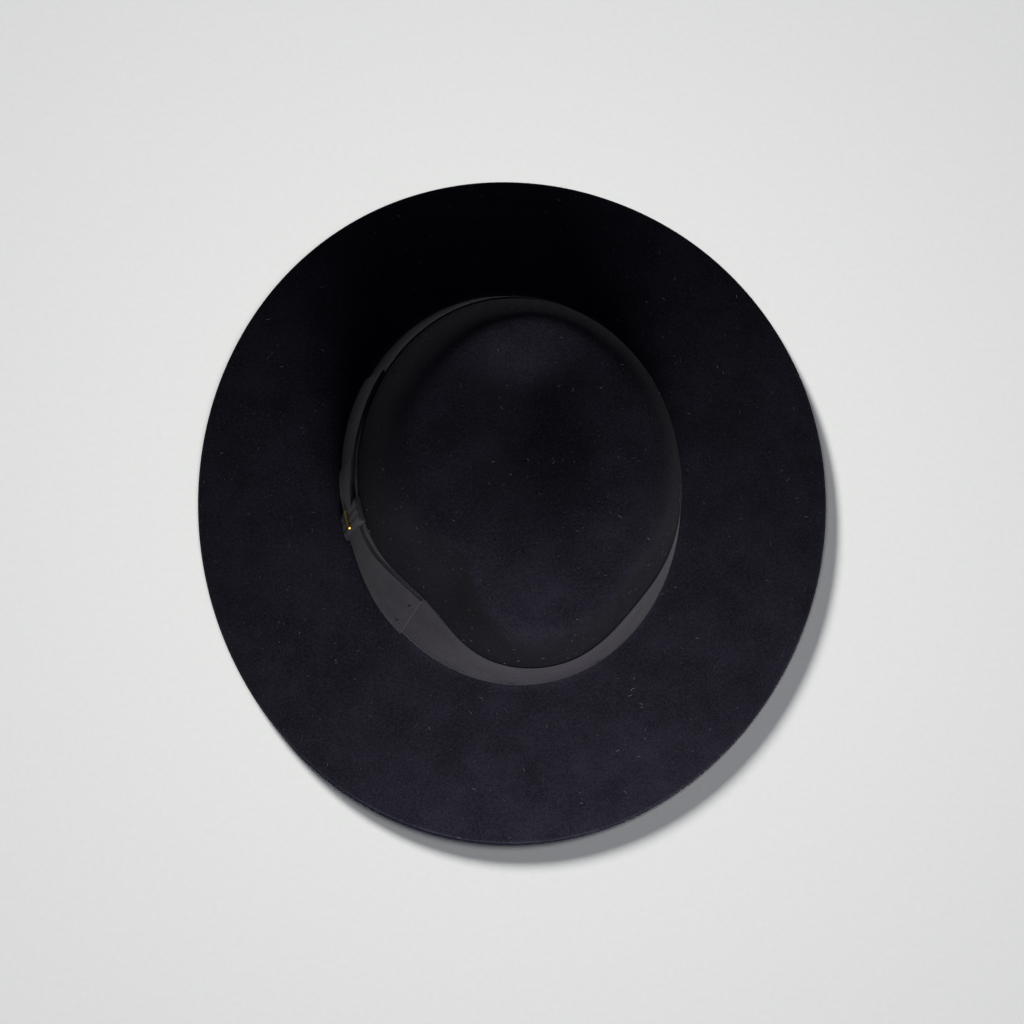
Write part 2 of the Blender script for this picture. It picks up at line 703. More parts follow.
# %% A folded loop
LOOP_NEAR = CLOTH_GAP + RIBBON_THICK + CLOTH_GAP
LAYER = 0.32 * MM
LOOP_RIB_HEIGHT = 0.2 * MM
FOLD_RADIUS = 0.42 * MM
LOWER_OUT = LOOP_NEAR + LAYER / 2 + LOOP_RIB_HEIGHT
UPPER_OUT = LOWER_OUT + 2 * FOLD_RADIUS
KNOT_WAIST = 13 * MM
LOOP_OPEN = 18.5 * MM
LAYER_STEP = 0.7 * MM
ACROSS = np.array([-1, -0.975, -0.93, -0.7, -0.45, -0.2, 0.05, 0.3, 0.55, 0.78, 0.93, 0.975, 1])


def smooth_step(share):
    """0 to 1 with level ends."""
    share = np.clip(share, 0, 1)
    return share * share * (3 - 2 * share)


def bell(place, middle, width):
    """1 in the middle, falling to 0 over about a width."""
    return np.exp(-((place - middle) / width) ** 2)


def folded_path(start, end):
    """Along a loop: the way from the knot, the distance out, how upper it is, and the length of ribbon."""
    step = RIB_PITCH / COLUMNS_PER_RIB
    straight = np.arange(start, end - FOLD_RADIUS, step)
    angles = np.linspace(0, math.pi, 9)[1:-1]
    fold_way = straight[-1] + FOLD_RADIUS * np.sin(angles)
    fold_out = (UPPER_OUT + LOWER_OUT) / 2 + FOLD_RADIUS * np.cos(angles)
    way = np.concatenate([straight, fold_way, straight[::-1]])
    out = np.concatenate([np.full_like(straight, UPPER_OUT), fold_out, np.full_like(straight, LOWER_OUT)])
    upper = (out - LOWER_OUT) / (UPPER_OUT - LOWER_OUT)
    lengths = np.concatenate([[0], np.cumsum(np.hypot(np.diff(way), np.diff(out)))])
    return way, out, upper, lengths


def loop_piece(name, node, direction, relief):
    """A loop of ribbon; relief(share, across, upper) is how far it stands out more, in metres."""
    low, high = lengths_of(node)
    start, end = (low, high) if direction > 0 else (-high, -low)
    way, out, upper, lengths = folded_path(start, end)
    share = ((way - start) / (end - start))[:, None]
    across = ACROSS[None, :]
    half = KNOT_WAIST + (LOOP_OPEN - KNOT_WAIST) * smooth_step(share * 1.4)
    side = BAND_MIDDLE + LAYER_STEP * (0.5 - upper[:, None]) * smooth_step((1 - share) * 8)
    height = side + half * across
    out = out[:, None] + relief(share, across, upper[:, None])
    net = wall(turn_at(direction * way)[:, None], height, out)
    if direction < 0:
        net = net[:, ::-1]
    along = np.repeat(lengths[:, None], len(ACROSS), axis=1)
    piece = cloth(name, net, LAYER, grosgrain, along=along)
    ribbed(piece, LOOP_RIB_HEIGHT)
    finish_piece(piece, "grosgrain", node)


def front_relief(share, across, upper):
    """The front loop swells a little, is pinched at the knot and has a pressed crease below its middle."""
    swell = 0.45 * MM * np.sin(math.pi * np.clip(share, 0, 1)) * (1 - across ** 2)
    crease_line = -0.25 - 0.9 * (share - 0.55)
    crease = -0.9 * MM * bell(across, crease_line, 0.10) * bell(share, 0.68, 0.16)
    ridge = 0.5 * MM * bell(across, crease_line - 0.2, 0.12) * bell(share, 0.68, 0.2)
    return upper * (swell + crease + ridge)


def rear_relief(share, across, upper):
    """The rear loop lies flatter."""
    return upper * 0.45 * MM * np.sin(math.pi * np.clip(share, 0, 1)) * (1 - across ** 2)


loop_piece("bow_front_loop_ribbon", "bow_front_loop", 1, front_relief)
loop_piece("bow_rear_loop_ribbon", "bow_rear_loop", -1, rear_relief)

# %% [markdown]
# ## The gathered tuck
# Beside the knot the rear loop has a short second tuck of ribbon on top of it. It is pulled in on the slant
# where the knot grips it, so its ribs run diagonally and it lies in shallow slanting folds, and its far end
# is a straight fold. It is one layer, a little above the loop.

# %% Build the gathered tuck
TUCK_LENGTH = 21 * MM
TUCK_SLANT = 0.75
TUCK_FOLD = 5.5 * MM
TUCK_UNDER_KNOT = 3 * MM
TUCK_WAIST = KNOT_WAIST * 0.86
TUCK_OPEN = LOOP_OPEN * 0.9
rear_high = lengths_of("bow_rear_loop")[1]
tuck_way = np.arange(
    -rear_high - TUCK_UNDER_KNOT, -rear_high + TUCK_LENGTH, RIB_PITCH / COLUMNS_PER_RIB)[:, None]
tuck_share = np.clip((tuck_way + rear_high) / TUCK_LENGTH, 0, 1)
tuck_across = np.linspace(-1, 1, 33)[None, :]
tuck_half = TUCK_WAIST + (TUCK_OPEN - TUCK_WAIST) * smooth_step(tuck_share * 1.15)
tuck_height = BAND_MIDDLE + tuck_half * tuck_across
slanted = tuck_way + TUCK_SLANT * (tuck_height - BAND_MIDDLE)
folds = np.sin(2 * math.pi * (tuck_way * 0.35 + tuck_height - BAND_MIDDLE) / TUCK_FOLD)
tuck_out = UPPER_OUT + LAYER + 2 * LOOP_RIB_HEIGHT + CLOTH_GAP
tuck_out = tuck_out + 0.45 * MM * (1 - tuck_across ** 2) * np.sin(math.pi * tuck_share * 0.8)
tuck_out = tuck_out + 0.22 * MM * folds * (1 - tuck_share)
tuck_out = tuck_out - 0.4 * MM * smooth_step((tuck_share - 0.93) / 0.07)
tuck_net = wall(turn_at(-tuck_way), tuck_height, tuck_out)[:, ::-1]
tuck = cloth("bow_rear_tuck_ribbon", tuck_net, LAYER, grosgrain, along=slanted[:, ::-1])
ribbed(tuck, LOOP_RIB_HEIGHT)
finish_piece(tuck, "grosgrain")

# %% [markdown]
# ## The knot
# The knot isn't tied: it is a short strap of the same ribbon, folded in three lengthwise and wrapped round
# the bow and the band. Its ribs run along the band, and its ends roll over the band's upper and lower
# edges. We sweep the strap's section up the wall, over the top and in, with its long sides tucked down and
# two shallow folds on its face.

# %% Build the knot
KNOT_OUT = LOOP_NEAR + 2.4 * MM
KNOT_LAYER = 0.45 * MM
KNOT_FACE = KNOT_OUT - KNOT_LAYER / 2 - LOOP_RIB_HEIGHT
knot_low, knot_high = lengths_of("bow_knot")
KNOT_ROLL = 1.5 * MM
KNOT_FOOT = 0.5 * MM
roll = np.linspace(0, math.pi * 0.5, 12)
step = RIB_PITCH / COLUMNS_PER_RIB
face_heights = np.arange(BAND_LOW, BAND_HIGH, step)
roll_out = KNOT_FACE - KNOT_ROLL
strap_height = np.concatenate([
    [BAND_LOW - KNOT_ROLL] * 4, BAND_LOW - KNOT_ROLL * np.cos(roll), face_heights,
    BAND_HIGH + KNOT_ROLL * np.sin(roll), [BAND_HIGH + KNOT_ROLL] * 4])
strap_out = np.concatenate([
    np.linspace(KNOT_FOOT, roll_out - 0.2 * MM, 4), roll_out + KNOT_ROLL * np.sin(roll),
    np.full_like(face_heights, KNOT_FACE), roll_out + KNOT_ROLL * np.cos(roll),
    np.linspace(roll_out - 0.2 * MM, KNOT_FOOT, 4)])
strap_lengths = np.concatenate([[0], np.cumsum(np.hypot(np.diff(strap_height), np.diff(strap_out)))])
half_side = np.array([0.24, 0.3, 0.36, 0.55, 0.8, 0.93, 0.985, 1])
strap_side = np.concatenate([-half_side[::-1], [0], half_side])
knot_half = (knot_high - knot_low) / 2
strap_way = (knot_low + knot_high) / 2 + knot_half * strap_side * 0.98
tucked = -1.3 * MM * np.abs(strap_side) ** 9 - 0.28 * MM * (bell(np.abs(strap_side), 0.3, 0.05))
cover = np.clip((strap_out - KNOT_FOOT) / (KNOT_FACE - KNOT_FOOT), 0, 1)
knot_out = strap_out[None, :] + tucked[:, None] * cover[None, :]
knot_net = wall(turn_at(strap_way)[:, None], strap_height[None, :], knot_out)
knot_along = np.repeat(strap_lengths[None, :], len(strap_side), axis=0)
knot = cloth("bow_knot_strap", knot_net, KNOT_LAYER, grosgrain, along=knot_along)
ribbed(knot, LOOP_RIB_HEIGHT)
finish_piece(knot, "grosgrain", "bow_knot")

# %% [markdown]
# ## The sweatband
# Inside, a strip of thin leather lies against the head. It is sewn in at the break, where its lower edge is
# rolled round a plastic reed that keeps the oval, and it stands up about 50 mm. Its ends meet at the back.
# Roan leather has a fine pebbled grain, 0.6 mm from pore to pore, and a soft waxed shine. The net runs from
# under the reed, round it and up; two pressed lines follow its upper edge, and a groove marks the back
# seam. The reed dips with the brim, so its own points give its level round the hat: a level and three
# waves.

# %% Leather and the sweatband
PEBBLE_MM = 0.6


def leather_material(name, dark, light):
    """Waxed roan leather: pebbles from a cell pattern, mottled colour, a soft shine."""
    tree, shader, material = new_material(name, Roughness=0.42, Specular_IOR_Level=0.5)
    place = add(tree, "ShaderNodeTexCoord").outputs["Object"]
    mottle = noise_of(tree, place, 9)
    colour = ramp_of(tree, mottle.outputs[0], [(0.3, dark), (0.7, light)])
    tree.links.new(colour.outputs[0], shader.inputs["Base Color"])
    cells = {"Scale": 1000 / PEBBLE_MM, "feature": "SMOOTH_F1"}
    pebbles = add(tree, "ShaderNodeTexVoronoi", cells, {"Vector": place})
    fine = noise_of(tree, place, 0.25)
    relief = bump_of(tree, pebbles.outputs[0], 0.06, 0.6)
    relief = bump_of(tree, fine.outputs[0], 0.03, 0.4, relief.outputs[0])
    tree.links.new(relief.outputs[0], shader.inputs["Normal"])
    dull = add(tree, "ShaderNodeMapRange", {"To Min": 0.36, "To Max": 0.52}, {"Value": mottle.outputs[0]})
    tree.links.new(dull.outputs[0], shader.inputs["Roughness"])
    return material


roan_leather = leather_material("waxed_roan_leather", "#2A1B12", "#4A3120")
LEATHER = 0.9 * MM
LEATHER_AIR = 0.9 * MM
LEATHER_OUT = -(FELT_THICK + LEATHER_AIR + LEATHER / 2)
REED_OUT = -3.4 * MM
ROLL_HEIGHTS = np.array([-2.0, -2.08, -1.8, -1.15, -0.2, 0.8, 1.9]) * MM
ROLL_OUTS = np.array([0.5, -0.2, -0.9, -1.45, -1.72, -1.6, -1.0]) * MM
STAND_HEIGHTS = np.array([6, 9, 14, 20, 26, 32, 38]) * MM
UNDER_TOP = np.array([6, 4.9, 4.6, 4.3, 3.6, 3.3, 3, 1.5, 0.4, 0]) * MM
PRESSED_LINES = (4.6 * MM, 3.3 * MM)
PRESS_DEPTH = 0.28 * MM
EDGE_TURNED_OUT = np.array([0.05, 0.15]) * MM
GROOVE_DEPTH = 0.3 * MM
WAVER = 0.25 * MM
SEAM_NEAR = 0.03
SEAM_STEPS = np.array([-0.022, -0.012, -0.007, -0.0035, 0, 0.0035, 0.007, 0.012, 0.022])

sweat_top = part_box("sweatband")[1][2] - BREAK_Z
stand_out = np.full(len(STAND_HEIGHTS), LEATHER_OUT)
top_out = LEATHER_OUT + PRESS_DEPTH * np.isin(UNDER_TOP, PRESSED_LINES)
top_out[-2:] += EDGE_TURNED_OUT
profile_out = np.concatenate([REED_OUT + ROLL_OUTS, stand_out, top_out])
even_turns = np.linspace(0, 2 * math.pi, 240, endpoint=False)
away_from_seam = even_turns[np.abs(even_turns - math.pi) > SEAM_NEAR]
band_turns = np.sort(np.concatenate([away_from_seam, math.pi + SEAM_STEPS]))
groove = GROOVE_DEPTH * bell(band_turns, math.pi, 0.004)
waver = WAVER * np.sin(3 * band_turns + 1) * np.sin(5 * band_turns)


def waves_round(turn):
    """Columns for a smooth line round the hat: a level and three waves."""
    waves = [np.ones_like(turn)]
    for count in (1, 2, 3):
        waves += [np.cos(count * turn), np.sin(count * turn)]
    return np.stack(waves, axis=1)


reed_points = np.array([list(vertex.co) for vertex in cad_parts["sweatband_reed"].data.vertices])
reed_turns = np.arctan2(reed_points[:, 0] - AXIS_X, AXIS_Y - reed_points[:, 1])
reed_line = np.linalg.lstsq(waves_round(reed_turns), reed_points[:, 2] - BREAK_Z, rcond=None)[0]
reed_level = waves_round(band_turns) @ reed_line
upright = np.concatenate([STAND_HEIGHTS, sweat_top - UNDER_TOP])
profile_heights = np.concatenate([
    reed_level[:, None] + ROLL_HEIGHTS, np.tile(upright, (len(band_turns), 1))], axis=1)
loose = np.clip(profile_heights / sweat_top, 0, 1) ** 2
sweat_out = profile_out[None, :] + groove[:, None] + waver[:, None] * loose
sweat_net = wall(band_turns[:, None], profile_heights, sweat_out)
print(f"reed {reed_level.min() / MM:.1f} to {reed_level.max() / MM:.1f} mm over the break")
sweatband = cloth("sweatband_leather", sweat_net, LEATHER, roan_leather, closed=True)
finish_piece(sweatband, "sweat_leather", "sweatband")

# %% [markdown]
# ## Lining
# A satin lining hides the inside of the crown: a side band, and a tip that follows the top. Satin shows
# long floats of thread, so its shine is stretched and broken by fine lines 0.3 mm apart. The tip is
# gathered into the seam, and the gathers fade away from it: a wave round the hat, sixty to the round, does
# that.

# %% Satin and the two lining pieces
def satin_material(name, dark, light):
    """Black satin: a clear, slightly stretched shine over fine threads."""
    tree, shader, material = new_material(
        name, Roughness=0.34, Specular_IOR_Level=0.6, Anisotropic=0.5, Sheen_Weight=0.15)
    place = add(tree, "ShaderNodeTexCoord").outputs["Object"]
    stretched = add(tree, "ShaderNodeMapping", {"Scale": (1.0, 1.0, 0.08)}, {"Vector": place})
    floats = noise_of(tree, stretched.outputs[0], 0.3, detail=1.0)
    colour = ramp_of(tree, floats.outputs[0], [(0.35, dark), (0.65, light)])
    tree.links.new(colour.outputs[0], shader.inputs["Base Color"])
    relief = bump_of(tree, floats.outputs[0], 0.03, 0.5)
    tree.links.new(relief.outputs[0], shader.inputs["Normal"])
    return material


satin = satin_material("black_satin", "#17161A", "#26252A")
LINING = 0.3 * MM
LINING_TURNS = 480
GATHERS = 60
GATHER_DEPTH = 0.55 * MM
SIDE_RIPPLE = 0.12 * MM
SIDE_OUT = -(FELT_THICK + CLOTH_GAP * 2.5 + LINING / 2)
lining_turns = np.linspace(0, 2 * math.pi, LINING_TURNS, endpoint=False)
side_low, side_high = (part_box("lining_side")[end][2] - BREAK_Z for end in (0, 1))
side_heights = np.linspace(side_low, side_high - 0.3 * MM, 8)
side_ripple = SIDE_RIPPLE * np.sin(GATHERS * lining_turns)
ripple_rise = smooth_step(np.linspace(-0.5, 1, len(side_heights)))
side_out = SIDE_OUT + side_ripple[:, None] * ripple_rise[None, :]
side_net = wall(lining_turns[:, None], side_heights[None, :], side_out)
lining_side = cloth("lining_side_satin", side_net, LINING, satin, closed=True)
finish_piece(lining_side, "satin", "lining_side")

TIP_DEPTH = FELT_THICK + 2.2 * MM
first_tip_row = BRIM_ROWS + BREAK_FAN + len(WALL_HEIGHTS)
tip_base = outer_net[:, first_tip_row:] - outer_normals[:, first_tip_row:] * TIP_DEPTH
tip_low = wall(np.array(turns)[:, None], np.array([side_high, side_high + 2 * MM])[None, :], -TIP_DEPTH)
tip_rows = smooth_round(np.concatenate([tip_low, tip_base], axis=1), LINING_TURNS)
row_fade = np.exp(-np.arange(tip_rows.shape[1]) / 3.0)
tip_ripple = -GATHER_DEPTH * (1 + np.sin(GATHERS * lining_turns))[:, None] * row_fade[None, :]
tip_net = tip_rows + normals_of(tip_rows) * tip_ripple[:, :, None]
lining_tip = cloth("lining_tip_satin", tip_net, LINING, satin, closed=True, capped=True)
finish_piece(lining_tip, "satin", "lining_tip")

# %% [markdown]
# ## Tapes, the small bow and the tag
# Cotton tape holds the reed and backs the seam, a small ribbon bow hides where the leather's ends meet, and
# a blank woven tag sits on the leather. Tapes, tag and the small bow's knot keep their designed shapes and
# take a finish. The bow's wings are laid anew on the wall, full at both ends and narrow under the knot.
# Cotton tape is a plain weave with a thread every 0.4 mm; two crossed waves show it coarser than that, with
# about six threads to a wave.

# %% Cotton tape and the small cloth pieces
def woven_material(name, dark, light, thread_mm, roughness):
    """Plain weave: two crossed waves for warp and weft, about six threads to a wave."""
    tree, shader, material = new_material(name, Roughness=roughness, Specular_IOR_Level=0.2, Sheen_Weight=0.2)
    place = add(tree, "ShaderNodeTexCoord").outputs["Object"]
    crossed = []
    for direction in ("Z", "X"):
        wave_settings = {"Scale": 1000 / thread_mm / 20, "Distortion": 0.4, "bands_direction": direction}
        crossed.append(add(tree, "ShaderNodeTexWave", wave_settings, {"Vector": place}).outputs[1])
    weave = add(tree, "ShaderNodeMath", {"operation": "MAXIMUM"}, {0: crossed[0], 1: crossed[1]})
    colour = ramp_of(tree, weave.outputs[0], [(0.2, dark), (0.8, light)])
    tree.links.new(colour.outputs[0], shader.inputs["Base Color"])
    relief = bump_of(tree, weave.outputs[0], 0.08, 0.7)
    tree.links.new(relief.outputs[0], shader.inputs["Normal"])
    return material


cotton_tape = woven_material("black_cotton_tape", "#1E1E21", "#34343A", 0.4, 0.85)
tag_cloth = woven_material("pale_damask_tag", "#B4AFA6", "#CBC6BC", 0.3, 0.7)
BOW_OUT = LEATHER_OUT - LEATHER / 2 - CLOTH_GAP - 0.35 * MM
BOW_SWELL = 0.25 * MM
BOW_RIB_HEIGHT = 0.12 * MM

bow_low, bow_high = lengths_of("rear_bow_wings")
bow_bottom, bow_top = (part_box("rear_bow_wings")[end][2] - BREAK_Z for end in (0, 1))
bow_share = np.linspace(0, 1, 40)
bow_across = np.linspace(-1, 1, 14)
bow_half = (bow_top - bow_bottom) / 2 * (0.45 + 0.55 * np.abs(2 * bow_share - 1) ** 0.7)
bow_way = bow_low + (bow_high - bow_low) * bow_share
bow_height = (bow_bottom + bow_top) / 2 + bow_half[:, None] * bow_across[None, :]
bow_rise = BOW_SWELL * np.sin(math.pi * bow_share)[:, None] * (1 - bow_across ** 2)[None, :]
bow_net = wall(turn_at(bow_way)[:, None], bow_height, BOW_OUT - bow_rise)
bow_along = np.repeat((bow_way - bow_low)[:, None], len(bow_across), axis=1)
rear_bow = cloth("rear_bow_ribbon", bow_net, RIBBON_THICK, grosgrain, along=bow_along)
ribbed(rear_bow, BOW_RIB_HEIGHT)
finish_piece(rear_bow, "grosgrain", "rear_bow_wings")


def paint(material, *nodes):
    """A designed part keeps its shape and takes a real finish."""
    for node in nodes:
        slots = bpy.data.objects[node].data.materials
        slots.clear()
        slots.append(material)


paint(cotton_tape, "reed_tape", "back_seam_tape")
paint(tag_cloth, "size_label")
paint(grosgrain, "rear_bow_knot")

# %% [markdown]
# ## Stitches
# A row of stitches is one short shape repeated at even steps along a line, which is what Geometry Nodes are
# for: the line becomes a curve, the curve is measured into a count of points, and each point gets a thread
# that follows the line. The thread is a stretched ball, so it dips into the cloth at both ends. The finish
# is waxed cotton: dull, with the twist as a soft wave, several times coarser than a real one.

# %% Thread, and stitches along a line
def thread_material(name, dark, light):
    """Twisted cotton thread."""
    tree, shader, material = new_material(name, Roughness=0.6, Specular_IOR_Level=0.3, Sheen_Weight=0.2)
    place = add(tree, "ShaderNodeTexCoord").outputs["Object"]
    wave_settings = {"Scale": 1000 / 0.35 / 20, "bands_direction": "DIAGONAL", "Distortion": 0.5}
    twist = add(tree, "ShaderNodeTexWave", wave_settings, {"Vector": place})
    colour = ramp_of(tree, twist.outputs[1], [(0.2, dark), (0.8, light)])
    tree.links.new(colour.outputs[0], shader.inputs["Base Color"])
    relief = bump_of(tree, twist.outputs[1], 0.05, 0.6)
    tree.links.new(relief.outputs[0], shader.inputs["Normal"])
    return material


cotton_thread = thread_material("waxed_cotton_thread", "#161618", "#2B2B2F")
stitch_tree, given = new_tree("stitches_on_a_line", [
    ("Count", "NodeSocketInt"), ("Thread length", "NodeSocketFloat"), ("Thread width", "NodeSocketFloat"),
    ("Material", "NodeSocketMaterial")])
line = add(stitch_tree, "GeometryNodeMeshToCurve", links={0: given["Geometry"]})
steps = add(stitch_tree, "GeometryNodeResampleCurve", links={
    "Curve": line.outputs[0], "Count": given["Count"]})
ball = add(stitch_tree, "GeometryNodeMeshUVSphere", {"Segments": 8, "Rings": 5, "Radius": 0.5})
tangent = add(stitch_tree, "GeometryNodeInputTangent").outputs[0]
follow = add(stitch_tree, "FunctionNodeAlignRotationToVector", {"axis": "X"}, {"Vector": tangent})
size = add(stitch_tree, "ShaderNodeCombineXYZ", links={
    0: given["Thread length"], 1: given["Thread width"], 2: given["Thread width"]})
placed = add(stitch_tree, "GeometryNodeInstanceOnPoints", links={
    "Points": steps.outputs[0], "Instance": ball.outputs[0], "Rotation": follow.outputs[0],
    "Scale": size.outputs[0]})
close_tree(stitch_tree, placed.outputs[0], given["Material"])


def stitched(name, points, count, length, width, *nodes):
    """Stitches along a closed line through these points."""
    mesh = bpy.data.meshes.new(name)
    joins = [(place, (place + 1) % len(points)) for place in range(len(points))]
    mesh.from_pydata([tuple(point) for point in points], joins, [])
    made = bpy.data.objects.new(name, mesh)
    bpy.context.scene.collection.objects.link(made)
    grow(made, stitch_tree, Count=count, Thread_length=length, Thread_width=width, Material=cotton_thread)
    return finish_piece(made, "thread", *nodes)


def line_round(height, out):
    """A line round the inside of the hat."""
    return wall(lining_turns, np.full(LINING_TURNS, height), np.full(LINING_TURNS, out))


def middle_height(node):
    """The height of the middle of a designed part over the break."""
    low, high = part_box(node)
    return (low[2] + high[2]) / 2 - BREAK_Z


sweat_line = line_round(middle_height("sweatband_stitches"), LEATHER_OUT - LEATHER / 2 - 0.2 * MM)
lining_line = line_round(side_high - 1.2 * MM, SIDE_OUT - LINING / 2 - 0.15 * MM)
stitched("sweatband_thread", sweat_line, 120, 3.2 * MM, 0.45 * MM, "sweatband_stitches")
stitched("lining_thread", lining_line, 90, 3.4 * MM, 0.4 * MM, "lining_stitches")
paint(cotton_thread, "hatband_tacks", "bow_stitches", "back_seam_stitches")

# %% [markdown]
# ## Gilt bar and reed
# The bar on the knot is gilt brass: a metal with its colour in the reflection, and hand-polishing marks
# that change the gloss in soft patches. The reed is a plastic rod that lets a little light through.

# %% Metal and plastic
tree, shader, gilt_brass = new_material("gilt_brass", Metallic=1.0, Roughness=0.28)
place = add(tree, "ShaderNodeTexCoord").outputs["Object"]
polish = noise_of(tree, place, 2.5)
colour = ramp_of(tree, polish.outputs[0], [(0.3, "#A8843C"), (0.7, "#D3B062")])
gloss = add(tree, "ShaderNodeMapRange", {"To Min": 0.2, "To Max": 0.42}, {"Value": polish.outputs[0]})
tree.links.new(colour.outputs[0], shader.inputs["Base Color"])
tree.links.new(gloss.outputs[0], shader.inputs["Roughness"])
relief = bump_of(tree, noise_of(tree, place, 0.5).outputs[0], 0.02, 0.3)
tree.links.new(relief.outputs[0], shader.inputs["Normal"])
paint(gilt_brass, "bow_pin")
tree, shader, reed_plastic = new_material(
    "translucent_reed_plastic", Roughness=0.4, Transmission_Weight=0.25, IOR=1.5)
place = add(tree, "ShaderNodeTexCoord").outputs["Object"]
colour = ramp_of(tree, noise_of(tree, place, 6).outputs[0], [(0.3, "#CFCBBD"), (0.7, "#E4E1D6")])
tree.links.new(colour.outputs[0], shader.inputs["Base Color"])
paint(reed_plastic, "sweatband_reed")

# %% [markdown]
# ## Lint and nap
# Felt is never bare: short hairs of its own nap stand off it, and pale lint from clothes lies on it. Both
# are fibres strewn over the outer face with a fixed seed, so one tree makes both, with its own density,
# length, thickness, lean and finish. A fibre is a short curved line with a three-sided section, and each is
# turned about the felt's own normal by a different angle. The seat the fibres are strewn on is the felt's
# outer net.

# %% Strewn fibres
FIBRE_SHORT, FIBRE_LONG = 0.4, 1.5
fibre_tree, given = new_tree("strewn_fibres", [
    ("Density", "NodeSocketFloat"), ("Seed", "NodeSocketInt"), ("Length", "NodeSocketFloat"),
    ("Thickness", "NodeSocketFloat"), ("Lean", "NodeSocketFloat"), ("Material", "NodeSocketMaterial")])
spread = add(fibre_tree, "GeometryNodeDistributePointsOnFaces", links={
    "Mesh": given["Geometry"], "Density": given["Density"], "Seed": given["Seed"]})
bend = add(fibre_tree, "GeometryNodeCurveQuadraticBezier", {
    "Resolution": 4, "Start": (-0.5, 0, 0), "Middle": (0, 0.35, 0.05), "End": (0.5, 0, 0)})
section = add(fibre_tree, "GeometryNodeCurvePrimitiveCircle", {"Resolution": 3}, {
    "Radius": given["Thickness"]})
fibre = add(fibre_tree, "GeometryNodeCurveToMesh", links={
    "Curve": bend.outputs[0], "Profile Curve": section.outputs[0]})
turn_by = add(fibre_tree, "FunctionNodeRandomValue", {"data_type": "FLOAT"}, {"Seed": given["Seed"]})
turn_by.inputs[3].default_value = 2 * math.pi
spin = add(fibre_tree, "ShaderNodeCombineXYZ", links={1: given["Lean"], 2: turn_by.outputs[1]})
turned = add(fibre_tree, "FunctionNodeRotateRotation", {"rotation_space": "LOCAL"}, {
    "Rotation": spread.outputs["Rotation"], "Rotate By": spin.outputs[0]})
grown = add(fibre_tree, "FunctionNodeRandomValue", {"data_type": "FLOAT"}, {"Seed": given["Seed"]})
grown.inputs[2].default_value, grown.inputs[3].default_value = FIBRE_SHORT, FIBRE_LONG
reach = math_node(fibre_tree, "MULTIPLY", grown.outputs[1], given["Length"])
strewn = add(fibre_tree, "GeometryNodeInstanceOnPoints", links={
    "Points": spread.outputs["Points"], "Instance": fibre.outputs[0], "Rotation": turned.outputs[0],
    "Scale": reach})
close_tree(fibre_tree, strewn.outputs[0], given["Material"])


def fibre_material(name, dark, light, rough):
    """One fibre lighter, the next darker, by a coarse noise over the hat."""
    tree, shader, material = new_material(name, Roughness=rough, Specular_IOR_Level=0.2, Sheen_Weight=0.3)
    place = add(tree, "ShaderNodeTexCoord").outputs["Object"]
    colour = ramp_of(tree, noise_of(tree, place, 4).outputs[0], [(0.35, dark), (0.65, light)])
    tree.links.new(colour.outputs[0], shader.inputs["Base Color"])
    return material


def strew(name, density, seed, length, thickness, lean, lift, material):
    """Fibres over the felt's outer face; thickness is a share of the length."""
    seat = felt_outer + outer_normals * lift
    points = seat.reshape(-1, 3)
    rows = seat.shape[1]
    made = make_object(name, points, ring_faces(rows, SPOKES), [material])
    turn_outwards(made)
    grow(made, fibre_tree, Density=density, Seed=seed, Length=length, Thickness=thickness, Lean=lean,
         Material=material)
    return finish_piece(made, "fur_felt")


pale_lint = fibre_material("pale_lint", "#4E4D52", "#8E8C90", 0.8)
black_nap = fibre_material("black_nap", "#17161B", "#34333A", 0.7)
strew("felt_lint", 4200.0, 7, 1.4 * MM, 0.03, 0.08, 0.08 * MM, pale_lint)
strew("felt_nap", 36000.0, 11, 0.8 * MM, 0.05, 0.6, 0.1 * MM, black_nap)

# %% [markdown]
# ## The floor, the light and the camera
# The hat lies on a plain pale floor and is seen from nearly straight above. Black felt needs a large soft
# light low in front of it, so that its nap glows and the crown shades the back of the brim. On a pale floor
# that light would throw a long shadow, so the floor gets a light of its own from the upper left, and each
# light is linked to what it is meant for, as a studio flags a lamp off the backdrop. A hidden card of the
# brim's outline, 7 mm up, is all that the floor's side light meets, and it gives the short shadow beside
# the brim.

# %% Floor, lights and camera
tree, shader, floor_paper = new_material("matte_backdrop_paper", Roughness=0.9, Specular_IOR_Level=0.2)
place = add(tree, "ShaderNodeTexCoord").outputs["Object"]
pulp = noise_of(tree, place, 3.0)
colour = ramp_of(tree, pulp.outputs[0], [(0.3, "#E6E7E3"), (0.7, "#E9EAE6")])
tree.links.new(colour.outputs[0], shader.inputs["Base Color"])
FLOOR_HALF = 3.0
floor = make_object("floor", [
    (-FLOOR_HALF, -FLOOR_HALF, 0), (FLOOR_HALF, -FLOOR_HALF, 0), (FLOOR_HALF, FLOOR_HALF, 0),
    (-FLOOR_HALF, FLOOR_HALF, 0)], [(0, 1, 2, 3)], [floor_paper], smooth=False)

HAT_MIDDLE = Vector((AXIS_X, AXIS_Y, 60 * MM))


def area_light(name, azimuth, elevation, distance, wide, power):
    """A soft box that looks at the hat; azimuth 0 is the front and 90 the right of the picture."""
    light = bpy.data.lights.new(name, "AREA")
    light.shape = "DISK"
    light.size = wide
    light.energy = power
    lamp = bpy.data.objects.new(name, light)
    bpy.context.scene.collection.objects.link(lamp)
    turn, rise = math.radians(azimuth), math.radians(elevation)
    way = outward(turn) * math.cos(rise) + UP * math.sin(rise)
    lamp.location = HAT_MIDDLE + way * distance
    lamp.rotation_euler = way.to_track_quat("Z", "Y").to_euler()
    return lamp


